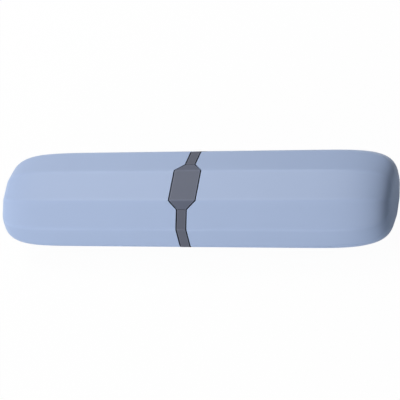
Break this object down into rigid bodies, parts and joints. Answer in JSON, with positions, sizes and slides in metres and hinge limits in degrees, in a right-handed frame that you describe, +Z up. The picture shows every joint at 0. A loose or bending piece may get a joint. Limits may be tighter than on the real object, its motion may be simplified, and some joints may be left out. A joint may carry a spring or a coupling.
{
  "type": "electric toothbrush travel case",
  "caption": "Faceted travel case for an electric toothbrush: two deep shells that pull apart at a grey collar with a push button latch.",
  "frame": {"origin": "under the middle of the collar, on the flat underside", "axes": "+X along the case towards the cap, +Z up through the button, +Y to the rear long side"},
  "size_m": [0.2398, 0.0616, 0.0338],
  "materials": {
    "shell": "satin moulded plastic, light grey blue",
    "grey_plastic": "satin moulded plastic, slate grey",
    "inner_plastic": "plain moulded plastic, pale grey",
    "liner_plastic": "plain moulded plastic, pale grey",
    "steel": "drawn and stamped steel",
    "grip_rubber": "soft matt rubber",
    "foam": "closed-cell foam, dark grey"
  },
  "bodies": {
    "base": {"base_shell": "shell", "collar": "grey_plastic", "latch_tray": "inner_plastic", "tray_screws": "steel", "base_liner_lower": "liner_plastic", "base_liner_upper": "liner_plastic", "grip_pad_lower": "grip_rubber", "grip_pad_upper": "grip_rubber", "base_end_pad": "foam", "spring_front": "steel", "spring_rear": "steel"},
    "button": {"release_button": "grey_plastic", "latch_slide": "inner_plastic"},
    "cap": {"cap_shell": "shell", "catch_plate": "steel", "cap_liner_lower": "liner_plastic", "cap_liner_upper": "liner_plastic", "peg_plate": "liner_plastic", "cap_end_pad": "foam"}
  },
  "joints": [
    {"name": "button_press", "type": "slide", "parent": "base", "child": "button", "axis": [0, 0, -1], "range_m": [0, 0.0012], "stiffness_N_per_m": 800, "springref_m": -0.0012, "deforming": ["spring_front", "spring_rear"]},
    {"name": "cap_slide", "type": "slide", "parent": "base", "child": "cap", "axis": [1, 0, 0], "range_m": [0, 0.12]}
  ]
}
